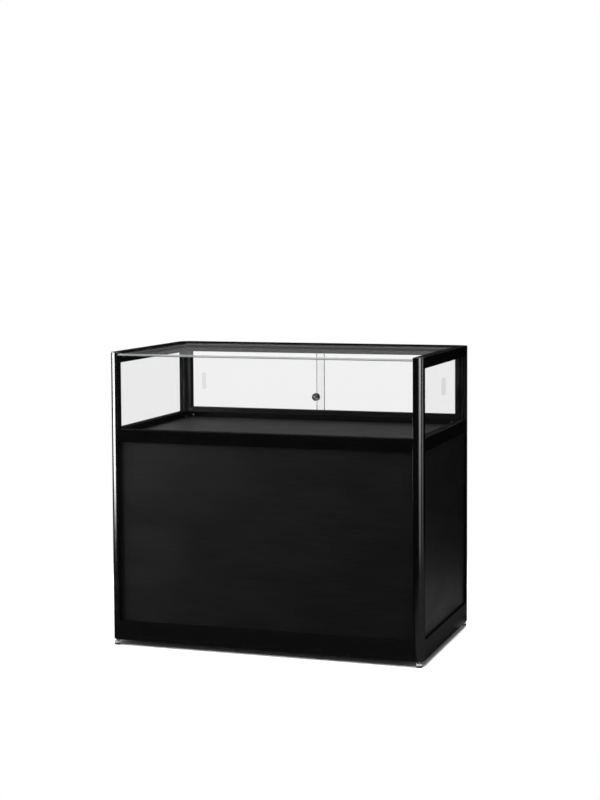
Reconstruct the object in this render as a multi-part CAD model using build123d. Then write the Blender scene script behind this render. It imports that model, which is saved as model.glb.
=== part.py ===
"""Glass display counter: an aluminium frame with a glass case over a closed cabinet.

Millimetres, +Z up. The front faces -Y and the sliding doors are at the rear, +Y.
The origin is at the floor, in the middle of everything the counter covers at rest.
"""
from build123d import *

import os

# ---------------------------------------------------------------- overall sizes
case_width = 1000.0            # outer faces of the posts, left to right
case_depth = 600.0             # outer faces of the posts, front to rear
case_height = 914.0            # floor to the top of the frame
deck_rail_top = 676.0          # floor to the top of the middle rails
foot_gap = 18.0                # floor to the underside of the frame

# ---------------------------------------------------------------- extrusions
post_size = 30.0               # square that a post fills, and the depth of every rail
post_corner_radius = 28.0      # round outer corner of a post
wall = 2.0                     # outer wall of the extrusions
top_rail_height = 33.0
mid_rail_height = 39.0
bottom_rail_height = 61.0
groove_setback = 8.0           # outer face of the frame to a pane or panel groove
groove_depth = 10.0
groove_end_gap = 1.0           # edge of a pane or panel to the floor of its groove
top_lip = 4.0                  # top of the rails to the upper face of the top glass
edge_break = 0.5               # small round on the visible edges of the rails
port_offset = 14.5             # screw port of a post, from both of its outer faces
port_radius = 4.0
cap_thickness = 2.0
cap_peg_length = 8.0
cap_peg_clearance = 0.1

# ---------------------------------------------------------------- panes and panels
pane_thickness = 6.0
top_glass_thickness = 6.0
top_seal_thickness = 1.0
top_glass_front_setback = 4.0  # front of the posts to the polished edge of the top glass
top_glass_side_gap = 1.0       # top glass to the posts and to the floors of its grooves
panel_thickness = 8.0
panel_clearance = 0.15         # panel to each wall of its groove
groove_width = panel_thickness + 2 * panel_clearance
gasket_floor = 0.8             # gasket web between a pane's edge and its groove
deck_thickness = 10.0
deck_recess = 18.0             # top of the middle rails down to the display deck
floor_thickness = 10.0
floor_recess = 18.0            # top of the bottom rails down to the cabinet floor
ledge_width = 10.0             # flange that carries the deck or the cabinet floor
ledge_thickness = 3.0
board_gap = 0.5                # edge of a deck or floor board to the rails around it

# ---------------------------------------------------------------- sliding doors
door_thickness = 5.0           # glass doors and storage doors alike
slot_clearance = 0.7           # door face to the wall of its track channel
track_mid_wall = 6.0
track_side_wall = 3.6
track_floor = 3.0
bottom_track_height = 15.0
top_track_height = 18.0
end_channel_depth = 10.0
end_channel_floor = 2.5
door_end_gap = 1.0             # closed door to the floor of its end channel
door_overlap = 24.0            # how far two closed doors lie over each other
door_top_room = 3.0            # door to the floor of its top channel, to lift it out
door_open_gap = 5.0            # open door to the floor of the far end channel
shoe_height = 8.0
shoe_floor = 1.2
shoe_side_gap = 0.2            # shoe to the wall of its channel
shoe_running_gap = 0.2         # shoe to the floor of its channel
slot_width = door_thickness + 2 * slot_clearance
door_pitch = slot_width + track_mid_wall
track_width = 2 * slot_width + track_mid_wall + 2 * track_side_wall

# finger pulls ground or routed into the rear face of each door
pull_width = 15.0
pull_height = 58.0
pull_depth = 1.5
storage_pull_height = 90.0
storage_pull_depth = 2.5
pull_from_edge = 46.5          # outer edge of a door to the middle of its pull
pull_above_rail = 104.0        # top of the rail under the door to the middle of the pull

# ---------------------------------------------------------------- plunger locks
lock_from_edge = 30.5          # meeting edge of the outer door to the lock's axis
lock_above_rail = 58.0         # top of the middle rail to the axis of the glass doors' lock
storage_lock_below_rail = 60.0
lock_barrel_radius = 9.5
lock_hole_clearance = 0.3
lock_flange_radius = 13.0
lock_flange = 3.0
lock_collar_radius = 10.5
lock_collar = 3.0
lock_front_wall = 2.5
lock_barrel_proud = 4.5        # barrel beyond the inner face of the door
lock_nut_radius = 12.5
lock_nut_height = 4.0
lock_nut_clearance = 0.05
plunger_radius = 4.0
plunger_head_radius = 8.0
plunger_head_proud = 11.0      # head beyond the collar when unlocked
plunger_travel = 8.5
plunger_end_room = 0.8         # head to the front wall when locked
running_clearance = 0.05       # radial, every turning or sliding fit
core_radius = 5.0
core_length = 6.0
key_slot_width = 1.2
key_slot_length = 7.0
key_slot_depth = 3.0

# ---------------------------------------------------------------- rail connectors
connector_width = 7.5
connector_height = 12.0
short_connector_height = 8.0
connector_in_rail = 30.0
connector_in_post = 9.0
connector_t_bottom = 25.0       # underside of the bottom rails to their connectors
screw_radius = 2.5
screw_from_end = 20.0
screw_above_deck = 3.2         # deck to the lock screws of the middle rails
screw_under_groove = 3.5       # groove of the top glass to the lock screws
screw_socket_radius = 1.3
screw_socket_depth = 2.0

# ---------------------------------------------------------------- levelling feet
pad_radius = 10.0
pad_height = 6.0
pad_chamfer = 1.0
hex_across_flats = 17.0
hex_height = 6.0
stud_in_post = 36.0
spigot_radius = 3.5
spigot_length = 4.0

# ---------------------------------------------------------------- derived places
# Everything is built about the middle of the case, then moved forward by half of what
# the locks stand proud, so that the origin is in the middle of the whole counter.
half_width = case_width / 2
half_depth = case_depth / 2
inner_x = half_width - post_size
inner_y = half_depth - post_size
span_x = case_width - 2 * post_size
span_y = case_depth - 2 * post_size

mid_rail_bottom = deck_rail_top - mid_rail_height
top_rail_bottom = case_height - top_rail_height
bottom_rail_top = foot_gap + bottom_rail_height
top_glass_top = case_height - top_lip
top_glass_bottom = top_glass_top - top_glass_thickness
deck_top = deck_rail_top - deck_recess
floor_top = bottom_rail_top - floor_recess

pane_setback = groove_setback + (groove_width - pane_thickness) / 2
panel_setback = groove_setback + panel_clearance
edge_in_groove = groove_depth - groove_end_gap

track_y = half_depth - post_size / 2
outer_door_y = track_y + door_pitch / 2
inner_door_y = track_y - door_pitch / 2
door_outer_x = inner_x - end_channel_floor - door_end_gap
door_meeting_x = door_overlap / 2
pull_x = door_outer_x - pull_from_edge

lock_x = door_meeting_x - lock_from_edge
lock_z = deck_rail_top + lock_above_rail
storage_lock_z = mid_rail_bottom - storage_lock_below_rail
storage_pull_z = (bottom_rail_top + mid_rail_bottom) / 2
lock_seat_y = outer_door_y + door_thickness / 2
lock_collar_y = lock_seat_y + lock_flange + lock_collar
lock_tail_y = lock_collar_y + plunger_head_proud
lock_nose_y = outer_door_y - door_thickness / 2 - lock_barrel_proud
case_shift = -(lock_tail_y - half_depth) / 2
foot_x = half_width - port_offset
foot_y = half_depth - port_offset

os.makedirs("parts", exist_ok=True)


def save(name, shape):
    """Writes one node, moved from the middle of the case to the counter's own frame."""
    solids = [Pos(0, case_shift, 0) * solid for solid in shape.solids()]
    moved = solids[0] if len(solids) == 1 else Compound(children=solids)
    moved.label = name
    export_step(moved, f"parts/{name}.step")


def block(x0, x1, y0, y1, z0, z1):
    """A box between two corners."""
    size = Box(x1 - x0, y1 - y0, z1 - z0)
    return Pos((x0 + x1) / 2, (y0 + y1) / 2, (z0 + z1) / 2) * size


def rect(u0, u1, v0, v1):
    """A rectangle between two corners, for the sections."""
    return Pos((u0 + u1) / 2, (v0 + v1) / 2) * Rectangle(u1 - u0, v1 - v0)


def rod(radius, y_rear, y_front, x, z):
    """A round bar along Y."""
    bar = Rot(90, 0, 0) * Cylinder(radius, y_rear - y_front)
    return Pos(x, (y_rear + y_front) / 2, z) * bar


def to_right(shape):
    return mirror(shape, about=Plane.YZ)


def to_rear(shape):
    return mirror(shape, about=Plane.XZ)


def join(shapes):
    """Separate solids kept side by side in one node."""
    return Compound(children=[solid for shape in shapes for solid in shape.solids()])


# ---------------------------------------------------------------- posts
def post_outline():
    square = rect(0, post_size, 0, post_size)
    outer_corner = square.vertices().sort_by(lambda v: v.X + v.Y)[0]
    return fillet(outer_corner, min(post_corner_radius, post_size - wall))


def post_section():
    """Quarter-round tube with a groove in each of its two inner faces.

    The corner of the case is at 0, 0, and both axes run inwards.
    """
    groove_end = groove_setback + groove_width
    section = post_outline() - rect(post_size - groove_depth, post_size, groove_setback, groove_end)
    section -= rect(groove_setback, groove_end, post_size - groove_depth, post_size)
    section -= Pos(port_offset, port_offset) * Circle(port_radius)
    core_start = groove_end + 1.5 * wall
    section -= rect(core_start, post_size - wall, core_start, post_size - wall)
    pocket = (post_size - groove_depth, post_size - wall, 1.5 * wall, groove_setback - wall)
    section -= rect(*pocket)
    section -= rect(pocket[2], pocket[3], pocket[0], pocket[1])
    return section


def make_posts():
    height = case_height - cap_thickness - foot_gap
    post = Pos(-half_width, -half_depth, foot_gap) * extrude(post_section(), height)
    save("post_front_left", post)
    save("post_front_right", to_right(post))
    save("post_rear_left", to_rear(post))
    save("post_rear_right", to_right(to_rear(post)))


def make_post_caps():
    top = case_height - cap_thickness
    plate = Pos(0, 0, top) * extrude(post_outline(), cap_thickness)
    peg_radius = port_radius - cap_peg_clearance
    peg_centre = Pos(port_offset, port_offset, top - cap_peg_length / 2)
    cap = Pos(-half_width, -half_depth, 0) * (plate + peg_centre * Cylinder(peg_radius, cap_peg_length))
    front = [cap, to_right(cap)]
    save("post_caps", join(front + [to_rear(each) for each in front]))


# ---------------------------------------------------------------- rails
# A rail's section has its outer face at 0 and runs inwards, with its underside at 0.
def along_y(section, height):
    """Carries a rail section from the rear post to the front post, on the left side."""
    start = Plane(origin=(-half_width, inner_y, height), x_dir=(1, 0, 0), z_dir=(0, -1, 0))
    return extrude(start * section, span_y)


def along_x(section, height):
    """Carries a rail section from the left post to the right post, along the front."""
    start = Plane(origin=(-inner_x, -half_depth, height), x_dir=(0, 1, 0), z_dir=(1, 0, 0))
    return extrude(start * section, span_x)


def rail_outline(height):
    body = rect(0, post_size, 0, height)
    return fillet(body.vertices().filter_by(lambda v: v.X < wall), edge_break)


def pane_groove(low, high):
    return rect(groove_setback, groove_setback + groove_width, low, high)


def ledge_on_front(board_bottom):
    """Flange on the inner face of a front rail, under the edge of a board."""
    y = -inner_y + ledge_width
    return block(-inner_x, inner_x, -inner_y, y, board_bottom - ledge_thickness, board_bottom)


def ledge_on_left(board_bottom):
    """The same on a left rail, cut back where the front and rear ledges pass."""
    y = inner_y - ledge_width
    x = -inner_x + ledge_width
    return block(-inner_x, x, -y, y, board_bottom - ledge_thickness, board_bottom)


def side_top_section():
    glass_low = top_glass_bottom - top_seal_thickness - top_rail_bottom
    glass_high = top_glass_top - top_rail_bottom
    glass_groove = rect(post_size - groove_depth, post_size, glass_low, glass_high)
    section = rail_outline(top_rail_height) - glass_groove - pane_groove(0, groove_depth)
    groove_inner = post_size - groove_depth - wall
    section -= rect(wall, groove_inner, groove_depth + wall, top_rail_height - wall)
    inner_start = groove_setback + groove_width + wall
    section -= rect(inner_start, post_size - wall, wall, groove_depth)
    return section


def rear_top_section():
    glass_low = top_glass_bottom - top_seal_thickness - top_rail_bottom
    glass_high = top_glass_top - top_rail_bottom
    side = (post_size - track_width) / 2
    section = rail_outline(top_rail_height) - rect(side, side + track_width, 0, top_track_height)
    section -= rect(post_size - groove_depth, post_size, glass_low, glass_high)
    chamber_low = top_track_height + wall
    section -= rect(wall, post_size - groove_depth - wall, chamber_low, top_rail_height - wall)
    return section


def mid_section():
    low = groove_depth + wall
    high = mid_rail_height - groove_depth - wall
    section = rail_outline(mid_rail_height)
    section -= pane_groove(0, groove_depth)
    section -= pane_groove(mid_rail_height - groove_depth, mid_rail_height)
    section -= rect(wall, post_size - wall, low, high)
    return section


def rear_mid_section():
    side = (post_size - track_width) / 2
    section = rail_outline(mid_rail_height)
    section -= rect(side, side + track_width, 0, top_track_height)
    section -= rect(wall, post_size - wall, top_track_height + wall, mid_rail_height - wall)
    return section


def bottom_section():
    high = bottom_rail_height - groove_depth - wall
    section = rail_outline(bottom_rail_height)
    section -= pane_groove(bottom_rail_height - groove_depth, bottom_rail_height)
    section -= rect(wall, post_size - wall, wall, high)
    return section


def rear_bottom_section():
    section = rail_outline(bottom_rail_height)
    section -= rect(wall, post_size - wall, wall, bottom_rail_height - wall)
    return section



# Each kind of rail: underside of the rail, then the middle and height of its connectors
# and the height of their lock screws, all three measured up from that underside.
glass_groove_t = top_glass_bottom - top_seal_thickness - top_rail_bottom
rail_kinds = {
    "top": (top_rail_bottom, (groove_depth + top_rail_height) / 2, connector_height,
            glass_groove_t - screw_under_groove),
    "mid": (mid_rail_bottom, mid_rail_height / 2, connector_height,
            mid_rail_height - deck_recess + screw_above_deck),
    "rear_mid": (mid_rail_bottom, (top_track_height + mid_rail_height) / 2, short_connector_height,
                 (top_track_height + mid_rail_height) / 2),
    "bottom": (foot_gap, connector_t_bottom, connector_height, connector_t_bottom),
}
connector_s = groove_setback + groove_width / 2
screw_reach = post_size - connector_s - connector_width / 2
rear_top_connector_t = (top_track_height + top_rail_height) / 2
rear_top_screw_reach = rear_top_connector_t - short_connector_height / 2 - top_track_height


def lock_screw(reach, socket):
    """Set screw that stands from z = -reach to 0, with its key socket at 0."""
    screw = Pos(0, 0, -reach / 2) * Cylinder(screw_radius, reach)
    if socket:
        screw -= Pos(0, 0, -screw_socket_depth / 2) * Cylinder(screw_socket_radius, screw_socket_depth)
    return screw


def screws_on_front(kind, socket=False):
    """Lock screws near both ends of a front rail, from its inner face to the connector."""
    height = rail_kinds[kind][0] + rail_kinds[kind][3]
    one = Pos(-inner_x + screw_from_end, -inner_y, height) * Rot(-90, 0, 0) * lock_screw(screw_reach, socket)
    return join(both_ends(one))


def screws_on_left(kind, socket=False):
    height = rail_kinds[kind][0] + rail_kinds[kind][3]
    one = Pos(-inner_x, inner_y - screw_from_end, height) * Rot(0, 90, 0) * lock_screw(screw_reach, socket)
    return join([one, to_rear(one)])


def screws_on_rear_top(socket=False):
    """The rear top rail takes its lock screws from below, out of its track cavity."""
    seat = Pos(-inner_x + screw_from_end, half_depth - connector_s, top_rail_bottom + top_track_height)
    return join(both_ends(seat * Rot(180, 0, 0) * lock_screw(rear_top_screw_reach, socket)))


def both_ends(front_left):
    return [front_left, to_right(front_left)]


def all_four(rear_left):
    return both_ends(rear_left) + both_ends(to_rear(rear_left))


def make_top_rails():
    left = along_y(side_top_section(), top_rail_bottom) - screws_on_left("top")
    save("top_rail_left", left)
    save("top_rail_right", to_right(left))
    rear = to_rear(along_x(rear_top_section(), top_rail_bottom))
    save("top_rail_rear", rear - screws_on_rear_top())


def make_mid_rails():
    deck_bottom = deck_top - deck_thickness
    left = along_y(mid_section(), mid_rail_bottom) + ledge_on_left(deck_bottom)
    left -= screws_on_left("mid")
    save("mid_rail_left", left)
    save("mid_rail_right", to_right(left))
    front = along_x(mid_section(), mid_rail_bottom) + ledge_on_front(deck_bottom)
    save("mid_rail_front", front - screws_on_front("mid"))
    rear = along_x(rear_mid_section(), mid_rail_bottom) + ledge_on_front(deck_bottom)
    save("mid_rail_rear", to_rear(rear - screws_on_front("rear_mid")))


def make_bottom_rails():
    floor_bottom = floor_top - floor_thickness
    left = along_y(bottom_section(), foot_gap) + ledge_on_left(floor_bottom)
    left -= screws_on_left("bottom")
    save("bottom_rail_left", left)
    save("bottom_rail_right", to_right(left))
    screws = screws_on_front("bottom")
    front = along_x(bottom_section(), foot_gap) + ledge_on_front(floor_bottom)
    save("bottom_rail_front", front - screws)
    rear = along_x(rear_bottom_section(), foot_gap) + ledge_on_front(floor_bottom)
    save("bottom_rail_rear", to_rear(rear - screws))


# ---------------------------------------------------------------- connectors
def connector_on_front(low, middle, height):
    """A bar in the left end of a front rail, whose nose is clamped in the post's groove."""
    y = -half_depth + connector_s
    x0 = -inner_x - connector_in_post
    x1 = -inner_x + connector_in_rail
    half = connector_width / 2
    return block(x0, x1, y - half, y + half, low + middle - height / 2, low + middle + height / 2)


def connector_on_left(low, middle, height):
    x = -half_width + connector_s
    y0 = inner_y - connector_in_rail
    y1 = inner_y + connector_in_post
    half = connector_width / 2
    return block(x - half, x + half, y0, y1, low + middle - height / 2, low + middle + height / 2)


def make_connectors():
    bars = []
    for kind in ("top", "mid", "bottom"):
        bars += all_four(connector_on_left(*rail_kinds[kind][:3]))
    for kind in ("mid", "bottom"):
        bars += both_ends(connector_on_front(*rail_kinds[kind][:3]))
    for kind in ("rear_mid", "bottom"):
        bars += both_ends(to_rear(connector_on_front(*rail_kinds[kind][:3])))
    rear_top = connector_on_front(top_rail_bottom, rear_top_connector_t, short_connector_height)
    bars += both_ends(to_rear(rear_top))
    save("rail_connectors", join(bars))


def make_connector_screws():
    screws = [screws_on_rear_top(socket=True), to_rear(screws_on_front("rear_mid", socket=True))]
    for kind in ("top", "mid", "bottom"):
        screws += both_ends(screws_on_left(kind, socket=True))
    screws.append(screws_on_front("mid", socket=True))
    bottom = screws_on_front("bottom", socket=True)
    screws += [bottom, to_rear(bottom)]
    save("connector_screws", join(screws))


# ---------------------------------------------------------------- fixed glass
pane_reach = edge_in_groove                        # pane into its post or rail groove
pane_low = deck_rail_top - pane_reach
side_pane_high = top_rail_bottom + pane_reach
front_pane_high = top_glass_bottom - top_seal_thickness


def front_pane():
    x = inner_x + pane_reach
    y = -half_depth + pane_setback
    return block(-x, x, y, y + pane_thickness, pane_low, front_pane_high)


def left_pane():
    x = -half_width + pane_setback
    y = inner_y + pane_reach
    return block(x, x + pane_thickness, -y, y, pane_low, side_pane_high)


def front_gasket():
    """U channel round the sides and the lower edge of the front pane, flush with the frame."""
    y = -half_depth + groove_setback
    x = inner_x + pane_reach + gasket_floor
    frame = block(-x, x, y, y + groove_width, pane_low - gasket_floor, front_pane_high)
    window = block(-inner_x, inner_x, y, y + groove_width, deck_rail_top, front_pane_high)
    return frame - window - front_pane()


def left_gasket():
    x = -half_width + groove_setback
    y = inner_y + pane_reach + gasket_floor
    low = pane_low - gasket_floor
    high = side_pane_high + gasket_floor
    frame = block(x, x + groove_width, -y, y, low, high)
    window = block(x, x + groove_width, -inner_y, inner_y, deck_rail_top, top_rail_bottom)
    return frame - window - left_pane()


def top_glass():
    """One plate in the grooves of three rails, notched round the four posts."""
    x_groove = inner_x + groove_depth - top_glass_side_gap
    x_post = inner_x - top_glass_side_gap
    y_post = inner_y - top_glass_side_gap
    y_front = -half_depth + top_glass_front_setback
    y_rear = inner_y + groove_depth - top_glass_side_gap
    between_posts = block(-x_post, x_post, y_front, y_rear, top_glass_bottom, top_glass_top)
    side_tongues = block(-x_groove, x_groove, -y_post, y_post, top_glass_bottom, top_glass_top)
    return between_posts + side_tongues


def make_top_seals():
    """Flat strips under the top glass, in the three rails and on the front pane."""
    low = front_pane_high
    left = block(-inner_x - groove_depth, -inner_x, -inner_y, inner_y, low, top_glass_bottom)
    rear = block(-inner_x, inner_x, inner_y, inner_y + groove_depth, low, top_glass_bottom)
    y = -half_depth + pane_setback
    front_x = inner_x - top_glass_side_gap
    front = block(-front_x, front_x, y, y + pane_thickness, low, top_glass_bottom)
    save("top_glass_seals", join([left, to_right(left), rear, front]))


def make_fixed_glass():
    save("glass_front", front_pane())
    save("glass_left", left_pane())
    save("glass_right", to_right(left_pane()))
    save("glass_top", top_glass())
    save("pane_gaskets", join([front_gasket(), left_gasket(), to_right(left_gasket())]))
    make_top_seals()


# ---------------------------------------------------------------- boards and panels
def make_boards():
    x = inner_x - board_gap
    y = inner_y - board_gap
    save("display_deck", block(-x, x, -y, y, deck_top - deck_thickness, deck_top))
    save("cabinet_floor", block(-x, x, -y, y, floor_top - floor_thickness, floor_top))


def make_panels():
    low = bottom_rail_top - edge_in_groove
    high = mid_rail_bottom + edge_in_groove
    x = inner_x + edge_in_groove
    y = -half_depth + panel_setback
    save("front_panel", block(-x, x, y, y + panel_thickness, low, high))
    x = -half_width + panel_setback
    y = inner_y + edge_in_groove
    left = block(x, x + panel_thickness, -y, y, low, high)
    save("side_panel_left", left)
    save("side_panel_right", to_right(left))


# ---------------------------------------------------------------- tracks
def double_channel(height, floor):
    """Section of a track: two door channels that open upwards, its underside at 0."""
    section = rect(-track_width / 2, track_width / 2, 0, height)
    for side in (-1, 1):
        middle = side * door_pitch / 2
        section -= rect(middle - slot_width / 2, middle + slot_width / 2, floor, height)
    return section


def track(height, low, opens_up):
    """A track between the rear posts, whose channels open upwards or downwards."""
    across = (0, 1, 0) if opens_up else (0, -1, 0)
    base = low if opens_up else low + height
    start = Plane(origin=(-inner_x, track_y, base), x_dir=across, z_dir=(1, 0, 0))
    return extrude(start * double_channel(height, track_floor), span_x)


def end_channel(low, high):
    """The same section upright against the inner face of the left rear post."""
    start = Plane(origin=(-inner_x, track_y, low), x_dir=(0, -1, 0), z_dir=(0, 0, 1))
    return extrude(start * double_channel(end_channel_depth, end_channel_floor), high - low)


def make_tracks():
    save("glass_track_bottom", track(bottom_track_height, deck_rail_top, opens_up=True))
    save("glass_track_top", track(top_track_height, top_rail_bottom, opens_up=False))
    save("storage_track_bottom", track(bottom_track_height, bottom_rail_top, opens_up=True))
    save("storage_track_top", track(top_track_height, mid_rail_bottom, opens_up=False))
    glass_end = end_channel(deck_rail_top + bottom_track_height, top_rail_bottom)
    save("glass_end_channels", join(both_ends(glass_end)))
    storage_end = end_channel(bottom_rail_top + bottom_track_height, mid_rail_bottom)
    save("storage_end_channels", join(both_ends(storage_end)))


# ---------------------------------------------------------------- sliding doors
def door_x(side):
    """Ends of a closed door. The left one, side -1, runs in the outer channel."""
    return (-door_outer_x, door_meeting_x) if side < 0 else (-door_meeting_x, door_outer_x)


def door_y(side):
    return outer_door_y if side < 0 else inner_door_y


def pull_cut(side, z, height, depth):
    """Long rounded finger recess in the rear face of a door."""
    face = door_y(side) + door_thickness / 2
    start = Plane(origin=(side * pull_x, face, z), x_dir=(0, 0, 1), z_dir=(0, -1, 0))
    return extrude(start * SlotOverall(height, pull_width), depth)


def door_plate(side, rail_top, upper_rail_bottom):
    low = rail_top + track_floor + shoe_running_gap + shoe_floor
    high = upper_rail_bottom + top_track_height - track_floor - door_top_room
    half = door_thickness / 2
    return block(*door_x(side), door_y(side) - half, door_y(side) + half, low, high)


def door_shoe(side, rail_top):
    """Sliding strip that wraps the lower edge of a door."""
    low = rail_top + track_floor + shoe_running_gap
    half = slot_width / 2 - shoe_side_gap
    strip = block(*door_x(side), door_y(side) - half, door_y(side) + half, low, low + shoe_height)
    half = door_thickness / 2
    y = door_y(side)
    groove = block(*door_x(side), y - half, y + half, low + shoe_floor, low + shoe_height)
    return strip - groove


def lock_hole(z):
    hole_radius = lock_barrel_radius + lock_hole_clearance
    return rod(hole_radius, lock_seat_y + 1, lock_seat_y - door_thickness - 1, lock_x, z)


def make_doors():
    for side, hand in ((-1, "left"), (1, "right")):
        glass = door_plate(side, deck_rail_top, top_rail_bottom)
        glass -= pull_cut(side, deck_rail_top + pull_above_rail, pull_height, pull_depth)
        storage = door_plate(side, bottom_rail_top, mid_rail_bottom)
        storage -= pull_cut(side, storage_pull_z, storage_pull_height, storage_pull_depth)
        if side < 0:
            glass -= lock_hole(lock_z)
            storage -= lock_hole(storage_lock_z)
        save(f"glass_door_{hand}", glass)
        save(f"storage_door_{hand}", storage)
        save(f"glass_door_{hand}_shoe", door_shoe(side, deck_rail_top))
        save(f"storage_door_{hand}_shoe", door_shoe(side, bottom_rail_top))


# ---------------------------------------------------------------- plunger locks
def lock_housing(z):
    """Flange and collar on the door's rear face, and a barrel through the door."""
    flange = rod(lock_flange_radius, lock_seat_y + lock_flange, lock_seat_y, lock_x, z)
    collar = rod(lock_collar_radius, lock_collar_y, lock_seat_y, lock_x, z)
    barrel = rod(lock_barrel_radius, lock_seat_y, lock_nose_y, lock_x, z)
    bore_end = lock_nose_y + lock_front_wall
    head_bore = rod(plunger_head_radius + running_clearance, lock_collar_y, bore_end, lock_x, z)
    nose_bore = rod(plunger_radius + running_clearance, lock_collar_y, lock_nose_y, lock_x, z)
    return flange + collar + barrel - head_bore - nose_bore


def lock_nut(z):
    face = outer_door_y - door_thickness / 2
    nut = rod(lock_nut_radius, face, face - lock_nut_height, lock_x, z)
    return nut - rod(lock_barrel_radius + lock_nut_clearance, face, face - lock_nut_height, lock_x, z)


def lock_plunger(z):
    """Head that is pushed in to lock, and the pin that then stands before the inner door."""
    head_end = lock_nose_y + lock_front_wall + plunger_travel + plunger_end_room
    head = rod(plunger_head_radius, lock_tail_y, head_end, lock_x, z)
    pin = rod(plunger_radius, head_end, lock_nose_y, lock_x, z)
    core_bore = rod(core_radius + running_clearance, lock_tail_y, lock_tail_y - core_length, lock_x, z)
    return head + pin - core_bore


def lock_core(z):
    core = rod(core_radius, lock_tail_y, lock_tail_y - core_length, lock_x, z)
    half_w = key_slot_width / 2
    half_l = key_slot_length / 2
    slot_floor = lock_tail_y - key_slot_depth
    return core - block(lock_x - half_w, lock_x + half_w, slot_floor, lock_tail_y, z - half_l, z + half_l)


def make_locks():
    for owner, z in (("glass", lock_z), ("storage", storage_lock_z)):
        save(f"{owner}_lock_housing", lock_housing(z))
        save(f"{owner}_lock_nut", lock_nut(z))
        save(f"{owner}_lock_plunger", lock_plunger(z))
        save(f"{owner}_lock_core", lock_core(z))


# ---------------------------------------------------------------- levelling feet
def foot_pad():
    pad = Pos(0, 0, pad_height / 2) * Cylinder(pad_radius, pad_height)
    pad = chamfer(pad.edges().filter_by(GeomType.CIRCLE).sort_by(Axis.Z)[-1], pad_chamfer)
    socket_depth = spigot_length + running_clearance
    socket = Cylinder(spigot_radius + running_clearance, socket_depth)
    return pad - Pos(0, 0, pad_height - socket_depth / 2) * socket


def foot_stud():
    """Threaded stud with a hexagon to turn it by, and a spigot that turns in the pad."""
    hexagon = extrude(RegularPolygon(hex_across_flats / 2, 6, major_radius=False), hex_height)
    spigot = Pos(0, 0, pad_height - spigot_length / 2) * Cylinder(spigot_radius, spigot_length)
    length = foot_gap - pad_height - hex_height + stud_in_post
    shaft_middle = pad_height + hex_height + length / 2
    shaft = Pos(0, 0, shaft_middle) * Cylinder(port_radius - running_clearance, length)
    return Pos(0, 0, pad_height) * hexagon + spigot + shaft


def make_feet():
    for end, y in (("front", -foot_y), ("rear", foot_y)):
        for hand, x in (("left", -foot_x), ("right", foot_x)):
            save(f"foot_pad_{end}_{hand}", Pos(x, y, 0) * foot_pad())
            save(f"foot_stud_{end}_{hand}", Pos(x, y, 0) * foot_stud())


make_posts()
make_post_caps()
make_top_rails()
make_mid_rails()
make_bottom_rails()
make_connectors()
make_connector_screws()
make_fixed_glass()
make_boards()
make_panels()
make_tracks()
make_doors()
make_locks()
make_feet()
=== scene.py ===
import math

import bpy
import numpy as np
from bpy.props import FloatProperty, FloatVectorProperty, IntProperty, PointerProperty
from mathutils import Matrix, Vector
from mathutils.geometry import tessellate_polygon


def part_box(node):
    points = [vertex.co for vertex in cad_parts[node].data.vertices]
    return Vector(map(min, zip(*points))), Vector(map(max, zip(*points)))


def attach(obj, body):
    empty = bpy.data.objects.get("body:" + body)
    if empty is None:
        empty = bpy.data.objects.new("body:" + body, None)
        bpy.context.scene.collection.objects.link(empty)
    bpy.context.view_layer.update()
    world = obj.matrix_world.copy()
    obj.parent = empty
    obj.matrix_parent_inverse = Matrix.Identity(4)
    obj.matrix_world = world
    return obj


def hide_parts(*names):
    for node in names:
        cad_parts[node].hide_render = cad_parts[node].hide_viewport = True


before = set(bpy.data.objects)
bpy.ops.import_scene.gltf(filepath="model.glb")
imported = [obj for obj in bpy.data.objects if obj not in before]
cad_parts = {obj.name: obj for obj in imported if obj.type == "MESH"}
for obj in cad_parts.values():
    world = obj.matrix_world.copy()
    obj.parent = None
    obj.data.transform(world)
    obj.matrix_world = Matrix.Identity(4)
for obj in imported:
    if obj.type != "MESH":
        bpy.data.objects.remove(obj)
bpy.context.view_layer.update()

bl_info = {
    "name": "Glass Display Counter",
    "version": (1, 0, 0),
    "blender": (4, 5, 0),
    "location": "View3D > Sidebar > Counter",
    "description": "Finishes a glass display counter: extrusions, glass, locks and feet",
    "category": "Object",
}

MM = 0.001
LEFT, RIGHT = -1, 1
FRONT, REAR = -1, 1


# ---------------------------------------------------------------- colours and nodes
def linear(colour):
    """An sRGB hex value as linear red, green, blue and a full alpha."""
    parts = [(colour >> shift & 255) / 255 for shift in (16, 8, 0)]
    return (*[p / 12.92 if p <= 0.04045 else ((p + 0.055) / 1.055) ** 2.4 for p in parts], 1.0)


def linear_setting(value):
    """A colour setting, which is linear already, with a full alpha."""
    return (*value, 1.0)


def add(tree, kind, settings=None, sockets=None):
    """Adds a node with its settings. A socket takes a plain value or the output it is linked to."""
    node = tree.nodes.new(kind)
    for name, value in (settings or {}).items():
        setattr(node, name, value)
    for name, value in (sockets or {}).items():
        if isinstance(value, bpy.types.NodeSocket):
            tree.links.new(value, node.inputs[name])
        else:
            node.inputs[name].default_value = value
    return node


def new_material(name):
    """An empty node material and its output."""
    material = bpy.data.materials.get(name) or bpy.data.materials.new(name)
    material.use_nodes = True
    tree = material.node_tree
    tree.nodes.clear()
    return material, tree, add(tree, "ShaderNodeOutputMaterial")


def finish_material(tree, output, shader):
    """Sends a shader to a material's output."""
    tree.links.new(shader, output.inputs["Surface"])


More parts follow.
